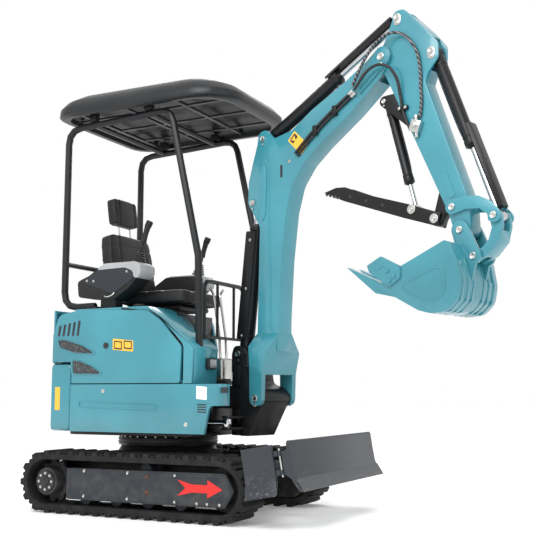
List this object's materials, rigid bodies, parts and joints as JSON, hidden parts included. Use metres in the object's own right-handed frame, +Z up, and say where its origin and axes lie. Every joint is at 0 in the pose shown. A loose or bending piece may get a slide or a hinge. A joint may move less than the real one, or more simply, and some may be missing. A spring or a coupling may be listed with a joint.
{
  "type": "mini excavator",
  "caption": "Tracked mini excavator with a roof canopy over an open seat, a dozer blade with folding wings, and a swinging boom carrying an arm, bucket and thumb.",
  "frame": {"origin": "middle of the bounding box, on the ground under the tracks", "axes": "+X towards the blade and boom, +Y to the machine's left, +Z up"},
  "size_m": [2.7271, 1.1508, 2.5211],
  "materials": {
    "teal_paint": "gloss",
    "black_paint": "satin",
    "dark_paint": "satin",
    "slate_paint": "satin",
    "grey_plastic": "matte",
    "chrome_rod": "polished",
    "track_rubber": "matte",
    "seat_vinyl": "matte",
    "cast_black": "matte"
  },
  "bodies": {
    "undercarriage": {"lower_frame": "black_paint", "slew_bearing": "black_paint", "right_track_frame": "dark_paint", "right_track": "track_rubber", "right_sprocket": "cast_black", "right_idler": "cast_black", "left_track_frame": "dark_paint", "left_track": "track_rubber", "left_sprocket": "cast_black", "left_idler": "cast_black"},
    "house": {"house_frame": "black_paint", "counterweight": "teal_paint", "right_lower_panel": "teal_paint", "left_lower_panel": "teal_paint", "right_top_cover": "teal_paint", "engine_cover": "black_paint", "left_cover": "teal_paint", "floor_plate": "black_paint", "engine_block": "dark_paint", "seat_base": "black_paint", "seat_cushion": "seat_vinyl", "seat_back": "seat_vinyl", "headrest": "seat_vinyl", "right_console": "grey_plastic", "left_console": "grey_plastic", "right_joystick": "black_paint", "left_joystick": "black_paint", "travel_levers": "black_paint", "front_rail": "black_paint", "canopy_frame": "black_paint", "canopy_roof": "dark_paint"},
    "swing_post": {"swing_post": "black_paint"},
    "boom": {"boom": "teal_paint"},
    "arm": {"arm": "teal_paint", "thumb_bracket": "black_paint", "thumb_cylinder_bracket": "black_paint"},
    "bucket": {"bucket": "teal_paint"},
    "thumb": {"thumb": "black_paint"},
    "blade": {"blade_push_frame": "slate_paint", "dozer_blade": "slate_paint"},
    "right_wing": {"right_wing": "slate_paint"},
    "left_wing": {"left_wing": "slate_paint"},
    "right_door": {"right_door": "teal_paint"},
    "rear_bonnet": {"rear_bonnet": "teal_paint"},
    "bucket_rockers": {"right_bucket_rocker": "teal_paint", "left_bucket_rocker": "teal_paint"},
    "bucket_link": {"bucket_link": "teal_paint"},
    "boom_cylinder_barrel": {"boom_cylinder_barrel": "black_paint"},
    "boom_cylinder_rod": {"boom_cylinder_rod": "chrome_rod"},
    "arm_cylinder_barrel": {"arm_cylinder_barrel": "black_paint"},
    "arm_cylinder_rod": {"arm_cylinder_rod": "chrome_rod"},
    "bucket_cylinder_barrel": {"bucket_cylinder_barrel": "black_paint"},
    "bucket_cylinder_rod": {"bucket_cylinder_rod": "chrome_rod"},
    "thumb_cylinder_barrel": {"thumb_cylinder_barrel": "black_paint"},
    "thumb_cylinder_rod": {"thumb_cylinder_rod": "chrome_rod"},
    "blade_cylinder_barrel": {"blade_cylinder_barrel": "black_paint"},
    "blade_cylinder_rod": {"blade_cylinder_rod": "chrome_rod"},
    "swing_cylinder_barrel": {"swing_cylinder_barrel": "black_paint"},
    "swing_cylinder_rod": {"swing_cylinder_rod": "chrome_rod"}
  },
  "joints": [
    {"name": "slew", "type": "hinge", "parent": "undercarriage", "child": "house", "pos_m": [-0.7035, 0, 0.398], "axis": [0, 0, 1], "continuous": true},
    {"name": "swing", "type": "hinge", "parent": "house", "child": "swing_post", "pos_m": [-0.2035, 0, 0.5], "axis": [0, 0, 1], "range_deg": [-35, 75]},
    {"name": "boom_lift", "type": "hinge", "parent": "swing_post", "child": "boom", "pos_m": [-0.01031, -0.05176, 0.611], "axis": [-0.2588, -0.9659, 0], "range_deg": [-88, 3]},
    {"name": "arm_crowd", "type": "hinge", "parent": "boom", "child": "arm", "pos_m": [0.74794, -0.25494, 2.3], "axis": [0.2588, 0.9659, 0], "range_deg": [-60, 13]},
    {"name": "bucket_curl", "type": "hinge", "parent": "arm", "child": "bucket", "pos_m": [1.14976, -0.36261, 1.376], "axis": [0.2588, 0.9659, 0], "range_deg": [-120, 25]},
    {"name": "thumb_turn", "type": "hinge", "parent": "arm", "child": "thumb", "pos_m": [1.01067, -0.32534, 1.451], "axis": [0.2588, 0.9659, 0], "range_deg": [-28, 36]},
    {"name": "blade_lift", "type": "hinge", "parent": "undercarriage", "child": "blade", "pos_m": [-0.4035, 0, 0.2], "axis": [0, -1, 0], "range_deg": [-26, 4]},
    {"name": "right_wing_fold", "type": "hinge", "parent": "blade", "child": "right_wing", "pos_m": [0.27196, -0.524, 0.31402], "axis": [-0.1736, 0, 0.9848], "range_deg": [0, 90]},
    {"name": "left_wing_fold", "type": "hinge", "parent": "blade", "child": "left_wing", "pos_m": [0.27196, 0.524, 0.31402], "axis": [0.1736, 0, -0.9848], "range_deg": [0, 90]},
    {"name": "right_door_hinge", "type": "hinge", "parent": "house", "child": "right_door", "pos_m": [-0.3305, -0.455, 0.9], "axis": [0, 0, 1], "range_deg": [0, 80]},
    {"name": "rear_bonnet_hinge", "type": "hinge", "parent": "house", "child": "rear_bonnet", "pos_m": [-1.1875, 0, 1.1], "axis": [0, 1, 0], "range_deg": [0, 60]},
    {"name": "boom_cylinder_pivot", "type": "hinge", "parent": "swing_post", "child": "boom_cylinder_barrel", "pos_m": [-0.19867, -0.00129, 0.851], "axis": [0.2588, 0.9659, 0], "range_deg": [-3.26, 89.95]},
    {"name": "boom_cylinder_stroke", "type": "slide", "parent": "boom_cylinder_barrel", "child": "boom_cylinder_rod", "axis": [0.1144, -0.0307, 0.993], "range_m": [-0.01694, 0.44021]},
    {"name": "arm_cylinder_pivot", "type": "hinge", "parent": "boom", "child": "arm_cylinder_barrel", "pos_m": [-0.0306, -0.04633, 2.032], "axis": [0.2588, 0.9659, 0], "range_deg": [-5.81, 1.42]},
    {"name": "arm_cylinder_stroke", "type": "slide", "parent": "arm_cylinder_barrel", "child": "arm_cylinder_rod", "axis": [0.8605, -0.2306, 0.4544], "range_m": [-0.19433, 0.04367]},
    {"name": "bucket_cylinder_pivot", "type": "hinge", "parent": "arm", "child": "bucket_cylinder_barrel", "pos_m": [1.0155, -0.32663, 2.268], "axis": [0.2588, 0.9659, 0], "range_deg": [-0.94, 3.74]},
    {"name": "bucket_cylinder_stroke", "type": "slide", "parent": "bucket_cylinder_barrel", "child": "bucket_cylinder_rod", "axis": [0.3317, -0.0889, -0.9392], "range_m": [-0.30748, 0.06564]},
    {"name": "thumb_cylinder_pivot", "type": "hinge", "parent": "arm", "child": "thumb_cylinder_barrel", "pos_m": [0.74407, -0.2539, 2.076], "axis": [0.2588, 0.9659, 0], "range_deg": [-8.31, 6.51]},
    {"name": "thumb_cylinder_stroke", "type": "slide", "parent": "thumb_cylinder_barrel", "child": "thumb_cylinder_rod", "axis": [0.2511, -0.0673, -0.9656], "range_m": [-0.04068, 0.03208]},
    {"name": "blade_cylinder_pivot", "type": "hinge", "parent": "undercarriage", "child": "blade_cylinder_barrel", "pos_m": [-0.3585, 0, 0.3], "axis": [0, 1, 0], "range_deg": [-4.42, 27.61]},
    {"name": "blade_cylinder_stroke", "type": "slide", "parent": "blade_cylinder_barrel", "child": "blade_cylinder_rod", "axis": [1, 0, -0.0008], "range_m": [-0.00961, 0.05144]},
    {"name": "swing_cylinder_pivot", "type": "hinge", "parent": "house", "child": "swing_cylinder_barrel", "pos_m": [-0.8035, -0.3, 0.482], "axis": [0, 0, 1], "range_deg": [-2.06, 4.19]},
    {"name": "swing_cylinder_stroke", "type": "slide", "parent": "swing_cylinder_barrel", "child": "swing_cylinder_rod", "axis": [0.9854, 0.1703, 0], "range_m": [-0.11396, 0.24191]},
    {"name": "rocker_turn", "type": "hinge", "parent": "arm", "child": "bucket_rockers", "pos_m": [1.11306, -0.35277, 1.487], "axis": [0.2588, 0.9659, 0], "range_deg": [-90.12, 18.93]},
    {"name": "link_turn", "type": "hinge", "parent": "bucket_rockers", "child": "bucket_link", "pos_m": [1.31397, -0.4066, 1.423], "axis": [0.2588, 0.9659, 0], "range_deg": [-9.62, 45.44]}
  ],
  "couplings": [
    {"joint": "boom_cylinder_pivot", "follows": "boom_lift", "ratio": -0.99993},
    {"joint": "boom_cylinder_stroke", "follows": "boom_lift", "m_per_rad": -0.27972},
    {"joint": "arm_cylinder_pivot", "follows": "arm_crowd", "ratio": 0.091735},
    {"joint": "arm_cylinder_stroke", "follows": "arm_crowd", "m_per_rad": 0.18006},
    {"joint": "bucket_cylinder_pivot", "follows": "bucket_curl", "ratio": -0.028902},
    {"joint": "bucket_cylinder_stroke", "follows": "bucket_curl", "m_per_rad": 0.14299},
    {"joint": "thumb_cylinder_pivot", "follows": "thumb_turn", "ratio": -0.22099},
    {"joint": "thumb_cylinder_stroke", "follows": "thumb_turn", "m_per_rad": -0.060347},
    {"joint": "blade_cylinder_pivot", "follows": "blade_lift", "ratio": -1.0337},
    {"joint": "blade_cylinder_stroke", "follows": "blade_lift", "m_per_rad": -0.10682},
    {"joint": "swing_cylinder_pivot", "follows": "swing", "ratio": 0.052134},
    {"joint": "swing_cylinder_stroke", "follows": "swing", "m_per_rad": 0.17968},
    {"joint": "rocker_turn", "follows": "bucket_curl", "ratio": 0.73462},
    {"joint": "link_turn", "follows": "bucket_curl", "ratio": -0.36963}
  ]
}
